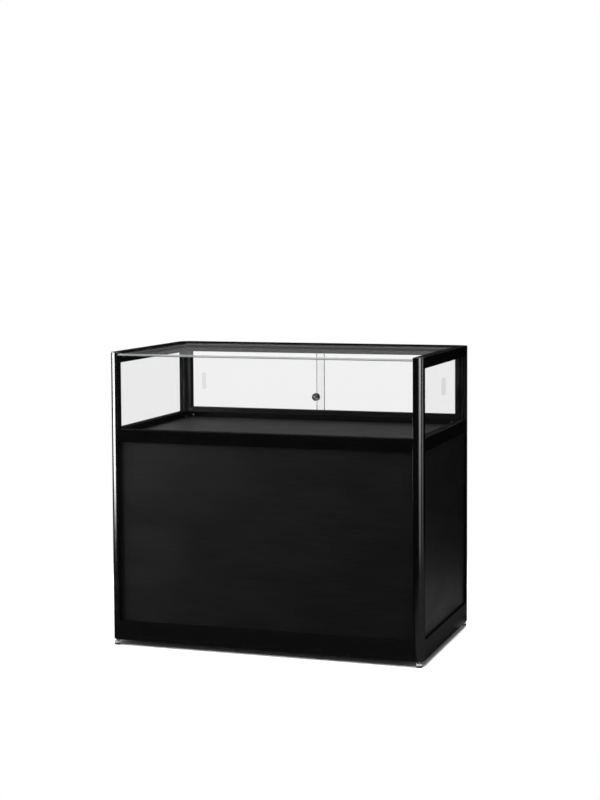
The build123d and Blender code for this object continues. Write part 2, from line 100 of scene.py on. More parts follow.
def grain(tree, spacing, detail=2.0, rough=0.5):
    """Noise on object coordinates. spacing is the length of one blob in metres along X, Y and Z."""
    place = add(tree, "ShaderNodeTexCoord")
    scale = tuple(1.0 / step for step in spacing)
    sockets = {"Vector": place.outputs["Object"], "Scale": scale}
    mapped = add(tree, "ShaderNodeMapping", None, sockets)
    settings = {"Vector": mapped.outputs[0], "Scale": 1.0, "Detail": detail, "Roughness": rough}
    return add(tree, "ShaderNodeTexNoise", None, settings).outputs["Fac"]


def spread(tree, value, low, high):
    """Maps the middle of a noise to the range from low to high."""
    sockets = {"Value": value, "From Min": 0.3, "From Max": 0.7, "To Min": low, "To Max": high}
    return add(tree, "ShaderNodeMapRange", None, sockets).outputs["Result"]


def two_tones(tree, value, dark, light):
    """Mixes two colours by a noise."""
    share = spread(tree, value, 0.0, 1.0)
    mixed = add(tree, "ShaderNodeMix", {"data_type": "RGBA"}, {0: share, 6: dark, 7: light})
    return mixed.outputs[2]


def raised(tree, value, height, strength=1.0):
    """A bump of a real height in metres."""
    sockets = {"Height": value, "Distance": height, "Strength": strength}
    return add(tree, "ShaderNodeBump", None, sockets).outputs["Normal"]


# ---------------------------------------------------------------- materials
FRAME_GLOSS = 0.045         # share that the frame mirrors, the same at every angle
ALONG = {"x": (180 * MM, 0.9 * MM, 0.9 * MM), "y": (0.9 * MM, 180 * MM, 0.9 * MM),
         "z": (0.9 * MM, 0.9 * MM, 180 * MM)}


def anodised_extrusion(axis):
    """Black anodised aluminium, extruded, etched and dyed.

    The eye gets a deep satin black with faint die lines along the bar, real ones
    about 0.1 mm apart and drawn 0.9 mm wide so that they show, and long soft highlights.
    """
    colour = bpy.context.scene.counter_frame.frame_colour
    material, tree, output = new_material(f"black_anodised_extrusion_along_{axis}")
    lines = grain(tree, ALONG[axis], detail=3.0)
    clouds = grain(tree, (70 * MM, 70 * MM, 70 * MM))
    dark = linear_setting([0.6 * c for c in colour])
    relief = raised(tree, lines, 0.004 * MM, 0.25)
    dyed = add(tree, "ShaderNodeBsdfDiffuse", None,
               {"Color": two_tones(tree, lines, dark, linear_setting(colour)), "Normal": relief})
    polish = spread(tree, clouds, 0.12, 0.17)
    gloss = add(tree, "ShaderNodeBsdfGlossy", None,
                {"Color": (1, 1, 1, 1), "Roughness": polish, "Normal": relief})
    both = {0: FRAME_GLOSS, 1: dyed.outputs[0], 2: gloss.outputs[0]}
    finish_material(tree, output, add(tree, "ShaderNodeMixShader", None, both).outputs[0])
    return material


def moulded_cap():
    """Black ABS, injection moulded in a spark-eroded tool.

    The eye gets a dull dark grey, paler than the metal, with a pitted grain of 0.6 mm.
    """
    material, tree, output = new_material("black_abs_spark_eroded")
    pits = grain(tree, (0.6 * MM, 0.6 * MM, 0.6 * MM), detail=1.0)
    shader = add(tree, "ShaderNodeBsdfPrincipled", None, {
        "Base Color": two_tones(tree, pits, linear(0x1B1C1E), linear(0x26272A)),
        "Roughness": spread(tree, pits, 0.42, 0.55),
        "IOR": 1.53,
        "Normal": raised(tree, pits, 0.02 * MM, 0.4),
    })
    finish_material(tree, output, shader.outputs[0])
    return material


def pressed_laminate():
    """Black decorative laminate, pressed against a plate with a fine level grain.

    The eye gets a dull black with thin level streaks: real pores are 0.3 mm high, drawn
    3 mm high and 90 mm long so that they show, over slow changes of gloss.
    """
    settings = bpy.context.scene.counter_boards
    material, tree, output = new_material("black_laminate_level_grain")
    streaks = grain(tree, (90 * MM, 90 * MM, settings.grain_height), detail=4.0, rough=0.6)
    clouds = grain(tree, (220 * MM, 220 * MM, 90 * MM))
    dark = linear_setting([0.3 * c for c in settings.laminate_colour])
    shader = add(tree, "ShaderNodeBsdfPrincipled", None, {
        "Base Color": two_tones(tree, streaks, dark, linear_setting(settings.laminate_colour)),
        "Roughness": spread(tree, clouds, 0.4, 0.48),
        "IOR": 1.48,
        "Specular IOR Level": 0.13,
        "Normal": raised(tree, streaks, 0.1 * MM, 0.5),
    })
    finish_material(tree, output, shader.outputs[0])
    return material


def pearl_laminate():
    """Black laminate with a pearl emboss, for the display deck and the cabinet floor.

    The eye gets a satin black that turns grey at a low angle, with a skin of 1.2 mm beads.
    """
    colour = bpy.context.scene.counter_boards.deck_colour
    material, tree, output = new_material("black_laminate_pearl_emboss")
    beads = grain(tree, (1.2 * MM, 1.2 * MM, 1.2 * MM), detail=1.0)
    clouds = grain(tree, (160 * MM, 160 * MM, 160 * MM))
    dark = linear_setting([0.75 * c for c in colour])
    shader = add(tree, "ShaderNodeBsdfPrincipled", None, {
        "Base Color": two_tones(tree, beads, dark, linear_setting(colour)),
        "Roughness": spread(tree, clouds, 0.42, 0.48),
        "IOR": 1.45,
        "Normal": raised(tree, beads, 0.01 * MM, 0.3),
    })
    finish_material(tree, output, shader.outputs[0])
    return material


def float_glass():
    """Clear float glass, drawn flat and cut.

    The eye gets what is behind it and a mirror image that grows at a low angle. Plain float
    glass mirrors more: its share is held down here so that the inside stays clear to see.
    """
    settings = bpy.context.scene.counter_glass
    material, tree, output = new_material("clear_float_glass")
    mirrored = add(tree, "ShaderNodeFresnel", None, {"IOR": settings.glass_ior}).outputs[0]
    held = {0: mirrored, 1: settings.mirror_limit}
    share = add(tree, "ShaderNodeMath", {"operation": "MINIMUM"}, held).outputs[0]
    clear = add(tree, "ShaderNodeBsdfTransparent", None, {"Color": linear_setting(settings.tint)})
    mirror = add(tree, "ShaderNodeBsdfGlossy", None, {"Color": (1, 1, 1, 1), "Roughness": 0.0})
    both = {0: share, 1: clear.outputs[0], 2: mirror.outputs[0]}
    finish_material(tree, output, add(tree, "ShaderNodeMixShader", None, both).outputs[0])
    return material


def ground_glass(name, grit, openness, pale, deep):
    """Float glass ground with a wheel: arrissed edges or the floor of a finger pull.

    The eye gets a frosted grey-green that still lets much light through, with wheel marks
    as wide as the grit says.
    """
    material, tree, output = new_material(name)
    marks = grain(tree, (grit, grit, grit), detail=3.0)
    frost = add(tree, "ShaderNodeBsdfPrincipled", None, {
        "Base Color": two_tones(tree, marks, deep, pale),
        "Roughness": spread(tree, marks, 0.3, 0.45),
        "IOR": 1.5,
        "Normal": raised(tree, marks, 0.01 * MM, 0.4),
    })
    clear = add(tree, "ShaderNodeBsdfTransparent", None, {"Color": linear(0xF1F5F3)})
    both = {0: 1.0 - openness, 1: clear.outputs[0], 2: frost.outputs[0]}
    finish_material(tree, output, add(tree, "ShaderNodeMixShader", None, both).outputs[0])
    return material


def ground_edge():
    """Edges of the top glass, ground and half polished: a pale grey line along the front."""
    return ground_glass("ground_glass_edge", 0.8 * MM, 0.25, linear(0xB4B8B7), linear(0x8A8F8E))


def flat_edge_painted_shade():
    """Edges of the upright panes and doors, ground flat: end-on a grey-green line darkened by painted
    shade.
    """
    # Painted shade: darker and less clear than the top glass's ground edge, as if shaded in the grooves and
    # gaskets.
    pale, deep = linear(0x3A403E), linear(0x242927)
    return ground_glass("ground_glass_edge_painted_shade", 0.8 * MM, 0.05, pale, deep)


def ground_pull():
    """Finger pulls, ground with a fine wheel: only slightly greyer than the glass round them."""
    return ground_glass("ground_glass_pull", 1.0 * MM, 0.82, linear(0xC4C5C5), linear(0xACADAD))


def plain_finish(name, dark, light, roughness, grain_size, bump=0.01 * MM, metallic=0.0,
                 ior=1.5, gloss=0.5):
    """A finish of one material: two tones, a relief of one grain size and a roughness range."""
    material, tree, output = new_material(name)
    skin = grain(tree, (grain_size,) * 3, detail=2.0)
    shader = add(tree, "ShaderNodeBsdfPrincipled", None, {
        "Base Color": two_tones(tree, skin, linear(dark), linear(light)),
        "Roughness": spread(tree, skin, *roughness),
        "Metallic": metallic,
        "IOR": ior,
        "Specular IOR Level": gloss,
        "Normal": raised(tree, skin, bump, 0.3),
    })
    finish_material(tree, output, shader.outputs[0])
    return material


def rubber():
    """EPDM rubber, extruded: dead black, with a bloom that makes it a little uneven."""
    return plain_finish("black_epdm_extruded", 0x0A0A0A, 0x101010, (0.6, 0.75), 1.5 * MM, gloss=0.2)


def track_plastic():
    """Hard PVC, extruded: plain black, smoother than the rubber, with faint draw marks."""
    return plain_finish("black_pvc_extruded", 0x08080A, 0x0D0D0E, (0.34, 0.42), 2.0 * MM,
                        gloss=0.15)


def silicone():
    """Clear silicone strip: milky grey and half see-through, as soft strips under glass look."""
    return ground_glass("clear_silicone_strip", 2.0 * MM, 0.3, linear(0x6E7371), linear(0x565A59))


def nylon(name, dark, light):
    """Moulded nylon: a waxy sheen over a fine matt grain of 0.8 mm."""
    return plain_finish(name, dark, light, (0.4, 0.5), 0.8 * MM, ior=1.53)


def chrome():
    """Chrome-plated zinc, die cast and polished: a hard mirror with a slight orange peel."""
    return plain_finish("polished_chrome_plate", 0xC4C7CA, 0xD2D5D8, (0.2, 0.3), 3 * MM,
                        0.002 * MM, metallic=1.0)


def nut_black():
    """Black-chromed brass, turned and knurled: dark, with bright crests on the knurls."""
    return plain_finish("black_chrome_turned", 0x3A3B3D, 0x4C4D50, (0.22, 0.3), 0.5 * MM,
                        metallic=1.0)


def brass():
    """Brass, turned: a warm yellow metal with fine tool marks."""
    return plain_finish("turned_brass", 0xA98745, 0xC09B55, (0.24, 0.32), 0.4 * MM, metallic=1.0)


def zinc():
    """Bright zinc on steel, rolled or die cast: a pale grey metal with a soft cloudy gloss."""
    return plain_finish("bright_zinc_plate", 0xB4B8BC, 0xCDD1D4, (0.22, 0.34), 1.0 * MM,
                        metallic=0.6)


# ---------------------------------------------------------------- surfaces
def rounded(corners, radii, steps=6):
    """An outline whose corners are rounded.

    At each corner an arc of the given radius touches both edges. Its points turn evenly
    about a centre that lies on the corner's bisector, at radius over the sine of half the
    corner's angle.
    """
    corner = np.asarray(corners, float)
    radius = np.broadcast_to(np.asarray(radii, float), len(corner))
    back = np.roll(corner, 1, 0) - corner
    ahead = np.roll(corner, -1, 0) - corner
    back /= np.linalg.norm(back, axis=1)[:, None]
    ahead /= np.linalg.norm(ahead, axis=1)[:, None]
    half = np.arccos(np.clip((back * ahead).sum(1), -1, 1)) / 2
    bisector = (back + ahead) / np.linalg.norm(back + ahead, axis=1)[:, None]
    centre = corner + bisector * (radius / np.sin(half))[:, None]
    first = corner + back * (radius / np.tan(half))[:, None] - centre
    side = np.sign(back[:, 0] * ahead[:, 1] - back[:, 1] * ahead[:, 0])
    turn = -side * (np.pi - 2 * half)
    angle = turn[:, None] * np.linspace(0, 1, steps + 1)[None, :]
    cos, sin = np.cos(angle), np.sin(angle)
    x = centre[:, :1] + cos * first[:, :1] - sin * first[:, 1:]
    y = centre[:, 1:] + sin * first[:, :1] + cos * first[:, 1:]
    ring = np.stack([x, y], 2).reshape(-1, 2)
    apart = np.linalg.norm(ring - np.roll(ring, 1, 0), axis=1) > 1e-7
    return ring[apart]


def circle(centre, radius, steps):
    """Evenly spaced points about a centre, running against the clock."""
    angle = np.arange(steps) * 2 * np.pi / steps
    return np.stack([centre[0] + radius * np.cos(angle), centre[1] + radius * np.sin(angle)], 1)


def arc(u, v, radius, start, end, steps=4):
    """Points evenly round a centre, from one angle in degrees to another."""
    angles = np.radians(np.linspace(start, end, steps + 1))
    return [(u + radius * math.cos(angle), v + radius * math.sin(angle)) for angle in angles]


def signed_area(ring):
    """Area inside an outline, positive where it runs against the clock."""
    ahead = np.roll(ring, -1, 0)
    return 0.5 * (ring[:, 0] * ahead[:, 1] - ring[:, 1] * ahead[:, 0]).sum()


def turned_round(ring, against_clock):
    """The same outline, running the way that is asked for."""
    return ring if (signed_area(ring) > 0) == against_clock else ring[::-1]


def inset(ring, distance):
    """Moves every edge of an outline sideways, into the material, which lies on its left.

    A corner moves by the distance along the sum of its two edges' normals, divided by one
    plus their dot product, so that both edges move by the full distance.
    """
    edge = np.roll(ring, -1, 0) - ring
    edge /= np.linalg.norm(edge, axis=1)[:, None]
    after = np.stack([-edge[:, 1], edge[:, 0]], 1)
    before = np.roll(after, 1, 0)
    return ring + distance * (before + after) / (1 + (before * after).sum(1))[:, None]


def raised_to(ring, height):
    """An outline's points at one height."""
    return np.column_stack([ring, np.full(len(ring), height)])


def walls_of(ring, rim):
    """A grid with one row for each inset and height of a rim."""
    return np.stack([raised_to(inset(ring, step), height) for step, height in rim])


def quads(rows, columns):
    """Faces of a grid of points stored row by row, whose last column meets the first."""
    row, column = np.meshgrid(np.arange(rows - 1), np.arange(columns), indexing="ij")
    ahead = (column + 1) % columns
    corners = [row * columns + column, row * columns + ahead,
               (row + 1) * columns + ahead, (row + 1) * columns + column]
    return np.stack(corners, 2).reshape(-1, 4)


def grid_patch(points, kind=0):
    """A patch from points on a grid, as flat points, faces and material number."""
    rows, columns = points.shape[:2]
    return points.reshape(-1, 3), quads(rows, columns), kind


def flat_patch(rings, height, upwards, kind=0):
    """Fills an outline with its holes at one height. Its triangles all run the same way round."""
    points = np.concatenate(rings)
    loops = [[Vector((*point, 0.0)) for point in ring] for ring in rings]
    faces = np.array(tessellate_polygon(loops), int)
    a, b, c = (points[faces[:, i]] for i in range(3))
    area = (b[:, 0] - a[:, 0]) * (c[:, 1] - a[:, 1]) - (b[:, 1] - a[:, 1]) * (c[:, 0] - a[:, 0])
    flipped = (area < 0) == upwards
    faces[flipped] = faces[flipped][:, ::-1]
    solid = np.abs(area) > 1e-14
    return raised_to(points, height), faces[solid], kind


def carried(rings, rim, dents=(), rim_kind=0):
    """A plate or bar: outlines carried through a rim, with flat ends.

    rings are the outer outline and its holes. rim is a list of insets and heights. Point i
    of row j is outline point i, moved in by inset j and up to height j. dents are outlines
    in the upper end, each with the patch that fills it.
    """
    rings = [turned_round(ring, index == 0) for index, ring in enumerate(rings)]
    patches = [grid_patch(walls_of(ring, rim), rim_kind) for ring in rings]
    low = [inset(ring, rim[0][0]) for ring in rings]
    high = [inset(ring, rim[-1][0]) for ring in rings] + [outline for outline, _ in dents]
    patches.append(flat_patch(low, rim[0][1], False))
    patches.append(flat_patch(high, rim[-1][1], True))
    return patches + [patch for _, patch in dents]


def round_rim(low, high, radius, steps=3):
    """A rim from a low to a high end, with a quarter round at both.

    The inset is the radius times one less the sine, and the height the radius times one
    less the cosine, of an angle that runs through a right angle.
    """
    angle = np.linspace(0, np.pi / 2, steps + 1)
    step = radius * (1 - np.sin(angle))
    rise = radius * (1 - np.cos(angle))
    return [*zip(step, low + rise), *zip(step[::-1], high - rise[::-1])]


def flat_rim(low, high, arris):
    """A rim from a low to a high end with a flat arris at both."""
    return [(arris, low), (0.0, low + arris), (0.0, high - arris), (arris, high)]


def spun(profile, steps, ripple=None):
    """A surface of revolution about the third axis.

    profile is a list of radii and heights, from one end to the other. Point i of row j
    lies at angle i, at the radius of row j. ripple takes the angles, radii and heights as
    whole grids, and returns the radii in their place.
    """
    radius, height = np.asarray(profile, float).T[:, :, None]
    angle = (np.arange(steps) * 2 * np.pi / steps)[None, :]
    radius, height, angle = np.broadcast_arrays(radius, height, angle)
    if ripple is not None:
        radius = ripple(angle, radius, height)
    points = np.stack([radius * np.cos(angle), radius * np.sin(angle), height], 2)
    return grid_patch(points)


def merged(patches):
    """Joins patches, with points within a tenth of a micrometre made one and poles closed."""
    start = np.cumsum([0] + [len(points) for points, _, _ in patches])
    points = np.concatenate([points for points, _, _ in patches])
    _, first, place = np.unique(np.round(points / 1e-7).astype(np.int64), axis=0,
                                return_index=True, return_inverse=True)
    place = place.ravel()
    faces, kinds = [], []
    for (_, patch, kind), offset in zip(patches, start):
        ring = place[patch + offset]
        parts = [ring]
        if ring.shape[1] == 4:
            top = ring[:, 0] == ring[:, 1]
            end = ring[:, 2] == ring[:, 3]
            parts = [ring[~top & ~end], ring[top & ~end][:, [0, 2, 3]], ring[end & ~top][:, :3]]
        faces += [row for part in parts for row in part.tolist()]
        kinds += [kind] * sum(len(part) for part in parts)
    return points[first], faces, kinds


def linked(name, data):
    """A new object of some data, in the scene."""
    obj = bpy.data.objects.new(name, data)
    bpy.context.scene.collection.objects.link(obj)
    return obj


def piece(name, patches, axes, origin, body, nodes, materials, sharp_angle=math.radians(32)):
    """Makes a piece from patches in its own axes, and seats it in the frame.

    A point is the origin plus each of its coordinates times an axis. Where the axes are
    left-handed the faces are turned over.
    """
    points, faces, kinds = merged(patches)
    axes = np.asarray(axes, float)
    if np.linalg.det(axes) < 0:
        faces = [face[::-1] for face in faces]
    mesh = bpy.data.meshes.new(name)
    mesh.from_pydata((points @ axes + np.asarray(origin)).tolist(), [], faces)
    mesh.polygons.foreach_set("material_index", np.array(kinds, np.int32))
    mesh.polygons.foreach_set("use_smooth", np.ones(len(faces), bool))
    mesh.set_sharp_from_angle(angle=sharp_angle)
    mesh.update()
    for material in materials:
        mesh.materials.append(material)
    obj = linked(name, mesh)
    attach(obj, body)
    if nodes:
        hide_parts(*nodes)


def finish_nodes(material, *names):
    """Gives CAD nodes a material, in every slot they have."""
    for name in names:
        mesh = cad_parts[name].data
        if not mesh.materials:
            mesh.materials.append(material)
        for index in range(len(mesh.materials)):
            mesh.materials[index] = material


WORLD_AXES = ((1, 0, 0), (0, 1, 0), (0, 0, 1))
# Width, height and depth: to the left, up and to the rear, or to the rear, up and to the right.
FACING_REAR = ((-1, 0, 0), (0, 0, 1), (0, 1, 0))
FACING_RIGHT = ((0, 1, 0), (0, 0, 1), (1, 0, 0))


def middle_of(node):
    """The middle of a node's box."""
    low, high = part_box(node)
    return (low + high) / 2


# ---------------------------------------------------------------- settings
def length_setting(name, description, default):
    """A length setting, in metres."""
    return FloatProperty(name=name, description=description, default=default, unit="LENGTH")


def colour_setting(name, description, default):
    """A colour setting, from an sRGB hex value."""
    return FloatVectorProperty(name=name, description=description, default=linear(default)[:3],
                               size=3, min=0, max=1, subtype="COLOR")


def angle_setting(name, description, default):
    """An angle setting, in radians."""
    return FloatProperty(name=name, description=description, default=default, unit="ROTATION",
                         subtype="ANGLE")


def fraction_setting(name, description, default):
    """A setting from 0 to 1."""
    return FloatProperty(name=name, description=description, default=default, min=0, max=1,
                         subtype="FACTOR")


def power_setting(name, description, default):
    """The power of a light, in watts."""
    return FloatProperty(name=name, description=description, default=default, min=0,
                         subtype="POWER", unit="POWER")


def brightness_setting(name, description, default):
    """How bright a softbox looks in a satin surface, where 1 is white."""
    return FloatProperty(name=name, description=description, default=default, min=0,
                         subtype="UNSIGNED")


class CounterFrameSettings(bpy.types.PropertyGroup):
    post_round: FloatProperty(
        name="Post Round", description="Radius of the round outer corner of a post",
        default=28 * MM, min=1 * MM, unit="LENGTH")
    groove_setback: length_setting(
        "Groove Setback", "Outer face of the frame to the groove of a pane or panel", 8 * MM)
    groove_width: length_setting("Groove Width", "Width of the groove of a pane or panel", 8.3 * MM)
    groove_depth: length_setting("Groove Depth", "Depth of the groove of a pane or panel", 10 * MM)
    wall: length_setting("Wall", "Wall of the extrusions", 2 * MM)
    port_offset: length_setting(
        "Port Offset", "Outer faces of a post to the middle of its screw port", 14.5 * MM)
    port_radius: length_setting("Port Radius", "Radius of the screw port of a post", 4 * MM)
    edge_round: length_setting("Edge Round", "Small round on the corners of the posts and caps", 0.5 * MM)
    frame_colour: colour_setting("Frame Colour", "Colour of the anodised frame", 0x0A0A0B)


class CounterGlassSettings(bpy.types.PropertyGroup):
    arris: length_setting("Arris", "Width of the ground arris along the edges of the glass", 0.7 * MM)
    door_arris: length_setting(
        "Door Arris", "Width of the ground arris along the edges of the sliding doors", 1.3 * MM)
    glass_ior: FloatProperty(
        name="Refractive Index", description="Sets how much the glass mirrors",
        default=1.37, min=1.0, max=2.0)
    mirror_limit: fraction_setting(
        "Mirror Limit", "Most that a face of glass mirrors, less than real glass does", 0.055)
    tint: colour_setting("Glass Tint", "What one face of the glass lets through", 0xFEFEFE)
    pull_from_edge: length_setting(
        "Pull From Edge", "Outer edge of a glass door to the middle of its finger pull", 46.5 * MM)
    pull_above_rail: length_setting(
        "Pull Above Rail", "Top of the rail under the door to the middle of the pull", 104 * MM)
    pull_width: length_setting("Pull Width", "Width of a finger pull", 15 * MM)
    pull_height: length_setting("Pull Height", "Height of a finger pull", 58 * MM)
    pull_depth: length_setting("Pull Depth", "Depth of a finger pull at its middle", 1.5 * MM)
    lock_hole: length_setting("Lock Hole", "Radius of the hole for the lock in a glass door", 9.8 * MM)


class CounterBoardSettings(bpy.types.PropertyGroup):
    laminate_colour: colour_setting("Laminate Colour", "Colour of the cabinet's panels", 0x131212)
    deck_colour: colour_setting("Deck Colour", "Colour of the display deck", 0x121214)
    grain_height: length_setting("Grain Height", "Height of one streak of the laminate's grain", 3 * MM)


class CounterLockSettings(bpy.types.PropertyGroup):
    knurls: IntProperty(
        name="Knurls", description="Ridges round the ring nut of a lock", default=40, min=8)
    knurl_depth: length_setting("Knurl Depth", "Depth of the ring nut's ridges", 0.45 * MM)
    edge_round: length_setting("Edge Round", "Round on the edges of the lock's turned parts", 0.5 * MM)
    keyway_length: length_setting("Keyway Length", "Length of the key slot", 7 * MM)
    keyway_width: length_setting("Keyway Width", "Width of the key slot", 1.2 * MM)
    keyway_depth: length_setting("Keyway Depth", "Depth of the key slot", 3 * MM)


class CounterFootSettings(bpy.types.PropertyGroup):
    thread_pitch: length_setting("Thread Pitch", "Rise of one turn of a levelling stud", 1.25 * MM)
    thread_depth: length_setting("Thread Depth", "Crest to root of the thread", 0.65 * MM)
    hexagon: length_setting("Hexagon", "Hexagon of a levelling stud, across its flats", 17 * MM)
    hexagon_height: length_setting("Hexagon Height", "Height of the hexagon", 6 * MM)
    spigot_radius: length_setting(
        "Spigot Radius", "Radius of the plain end that turns in the foot", 3.5 * MM)
    spigot_length: length_setting("Spigot Length", "Length of the plain end that turns in the foot", 4 * MM)


class CounterStageSettings(bpy.types.PropertyGroup):
    camera_place: FloatVectorProperty(
        name="Camera Place", description="Where the camera stands",
        default=(1.7272, -5.0587, 1.2626), size=3, unit="LENGTH", subtype="TRANSLATION")
    camera_yaw: angle_setting(
        "Camera Yaw", "How far the camera is turned to its left", 0.3250)
    camera_pitch: angle_setting("Camera Pitch", "How far the camera looks down", 0.0660)
    camera_roll: angle_setting("Camera Roll", "How far the camera leans", 0.0053)
    focal_length: FloatProperty(
        name="Focal Length", description="Focal length on a 36 mm sensor", default=76.29,
        min=1, subtype="DISTANCE_CAMERA")
    view_shift: FloatProperty(
        name="View Shift", description="Shift of the view as a share of its height, up if above 0",
        default=-0.0625)
    softbox_left: brightness_setting(
        "Left Softbox", "Brightness of the left softbox in glossy surfaces", 34.0)
    softbox_right: brightness_setting(
        "Right Softbox", "Brightness of the right softbox in glossy surfaces", 9.0)
    softbox_rear: brightness_setting(
        "Rear Softboxes", "Brightness of the two softboxes behind in glossy surfaces", 9.0)
    overhead_power: power_setting("Overhead Power", "Power of the overhead light", 75.0)
    fill_power: power_setting("Fill Power", "Power of the lights in front and behind", 45.0)
    ambient: fraction_setting("Ambient", "Light from all round on plain surfaces", 0.2)


# ---------------------------------------------------------------- frame
def post_rings(settings, size):
    """The section of a post, with the case's corner at the origin and both axes running inwards."""
    start, end = settings.groove_setback, settings.groove_setback + settings.groove_width
    floor = size - settings.groove_depth
    edge = settings.edge_round
    corners = [(0, 0), (size, 0), (size, start), (floor, start), (floor, end), (size, end),
               (size, size), (end, size), (end, floor), (start, floor), (start, size), (0, size)]
    radii = [settings.post_round, edge, edge, 0, 0, edge, edge, edge, 0, 0, edge, edge]
    outer = rounded(corners, radii, steps=24)
    port = circle((settings.port_offset,) * 2, settings.port_radius, 32)
    core = end + 1.5 * settings.wall
    inner = size - settings.wall
    cell = rounded([(core, core), (inner, core), (inner, inner), (core, inner)], edge, 2)
    low, high = 1.5 * settings.wall, start - settings.wall
    pocket = rounded([(floor, low), (inner, low), (inner, high), (floor, high)], edge, 2)
    return [outer, port, cell, pocket, pocket[:, ::-1]]


def corner_axes(end, hand):
    """Axes that run inwards from a corner of the case."""
    return ((-hand, 0, 0), (0, -end, 0), (0, 0, 1))


def corner_of(low, high, end, hand):
    """The corner of a box at one end and hand, in plan."""
    return (high.x if hand == RIGHT else low.x, high.y if end == REAR else low.y, 0.0)


CORNERS = [(end, hand) for end in (FRONT, REAR) for hand in (LEFT, RIGHT)]
END_NAME = {FRONT: "front", REAR: "rear"}
HAND_NAME = {LEFT: "left", RIGHT: "right"}


class COUNTER_OT_posts(bpy.types.Operator):
    """Makes the four quarter-round posts"""

    bl_idname = "counter.posts"
    bl_label = "Posts"

    def execute(self, context):
        settings = context.scene.counter_frame
        metal = anodised_extrusion("z")
        for end, hand in CORNERS:
            node = f"post_{END_NAME[end]}_{HAND_NAME[hand]}"
            low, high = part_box(node)
            rings = post_rings(settings, high.x - low.x)
            patches = carried(rings, [(0.0, low.z), (0.0, high.z)])
            piece(f"{node}_extrusion", patches, corner_axes(end, hand),
                  corner_of(low, high, end, hand), "frame", [node], [metal])
        return {"FINISHED"}


class COUNTER_OT_post_caps(bpy.types.Operator):
    """Makes the moulded caps on top of the posts"""

    bl_idname = "counter.post_caps"
    bl_label = "Post Caps"

    def execute(self, context):
        settings = context.scene.counter_frame
        plastic = moulded_cap()
        low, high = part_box("post_caps")
        post_low, post_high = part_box("post_front_left")
        size = post_high.x - post_low.x
        edge = settings.edge_round
        outline = rounded([(0, 0), (size, 0), (size, size), (0, size)],
                          [settings.post_round, edge, edge, edge], 24)
        steps = 3
        # Without the round at the lower end, where the cap sits on the post.
        rim = round_rim(post_high.z, high.z, edge, steps)[steps:]
        for index, (end, hand) in enumerate(CORNERS):
            nodes = ["post_caps"] if index == 0 else []
            piece(f"post_cap_{END_NAME[end]}_{HAND_NAME[hand]}", carried([outline], rim),
                  corner_axes(end, hand), corner_of(low, high, end, hand),
                  "frame", nodes, [plastic])
        return {"FINISHED"}


class COUNTER_OT_rails(bpy.types.Operator):
    """Finishes the rails, with the die lines running along each"""

    bl_idname = "counter.rails"
    bl_label = "Rails"

    def execute(self, context):
        for axis, ends in (("x", ("_front", "_rear")), ("y", ("_left", "_right"))):
            rails = [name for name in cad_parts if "rail" in name and name.endswith(ends)]
            finish_nodes(anodised_extrusion(axis), *rails)
        finish_nodes(zinc(), "rail_connectors", "connector_screws")
        return {"FINISHED"}


# ---------------------------------------------------------------- glass
def pane(node, axes, outline_low, outline_high, depth_low, depth_high):
    """A plain pane with arrissed edges, between two corners of its outline."""
    (u0, v0), (u1, v1) = outline_low, outline_high
    arris = bpy.context.scene.counter_glass.arris
    ring = np.array([(u0, v0), (u1, v0), (u1, v1), (u0, v1)], float)
    patches = carried([ring], flat_rim(depth_low, depth_high, arris), rim_kind=1)
    piece(f"{node}_pane", patches, axes, (0, 0, 0), "frame", [node],
          [float_glass(), flat_edge_painted_shade()], sharp_angle=math.radians(10))


class COUNTER_OT_fixed_glass(bpy.types.Operator):
    """Makes the front and side panes and the notched top glass, with ground edges"""

    bl_idname = "counter.fixed_glass"
    bl_label = "Fixed Glass"

    def execute(self, context):
        low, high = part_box("glass_front")
        pane("glass_front", FACING_REAR, (-high.x, low.z), (-low.x, high.z), low.y, high.y)
        for node in ("glass_left", "glass_right"):
            low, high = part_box(node)
            pane(node, FACING_RIGHT, (low.y, low.z), (high.y, high.z), low.x, high.x)
        self.top_glass(context.scene.counter_glass.arris)
        finish_nodes(rubber(), "pane_gaskets")
        finish_nodes(silicone(), "top_glass_seals")
        return {"FINISHED"}

    @staticmethod
    def top_glass(arris):
        """The top glass reaches into the grooves of three rails, and is notched round the posts."""
        low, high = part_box("glass_top")
        post_low, post_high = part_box("post_front_right")
        rear_low, rear_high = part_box("post_rear_right")
        gap = 1 * MM
        x_post = post_low.x - gap
        y_front, y_rear = post_high.y + gap, rear_low.y - gap
        ring = np.array([(-x_post, low.y), (x_post, low.y), (x_post, y_front), (high.x, y_front),
                         (high.x, y_rear), (x_post, y_rear), (x_post, high.y), (-x_post, high.y),
                         (-x_post, y_rear), (low.x, y_rear), (low.x, y_front), (-x_post, y_front)])
        patches = carried([ring], flat_rim(low.z, high.z, arris), rim_kind=1)
        piece("glass_top_plate", patches, WORLD_AXES, (0, 0, 0), "frame",
              ["glass_top"], [float_glass(), ground_edge()], sharp_angle=math.radians(10))


def pull_dent(centre, width, height, depth, surface, rows=7, around=48):
    """A finger pull ground into a door with a wheel, as its outline and the patch that fills it.

    Its outline is a slot. Row j is the slot shrunk towards its middle line by the cosine of
    an angle that runs through a right angle, and lies below the surface by the depth times
    the angle's sine.
    """
    radius = width / 2
    reach = height / 2 - radius
    angle = np.arange(around) * 2 * np.pi / around
    line = np.stack([np.zeros(around), np.where(np.sin(angle) >= 0, reach, -reach)], 1)
    spoke = np.stack([radius * np.cos(angle), radius * np.sin(angle)], 1)
    share = np.cos(np.linspace(0, np.pi / 2, rows))[:, None, None]
    flat = np.asarray(centre) + line[None] + share * spoke[None]
    sunk = depth * np.sqrt(1 - share[:, :, 0] ** 2)
    grid = np.dstack([flat, surface - np.broadcast_to(sunk, flat.shape[:2])])
    return grid[0, :, :2], grid_patch(grid, 2)


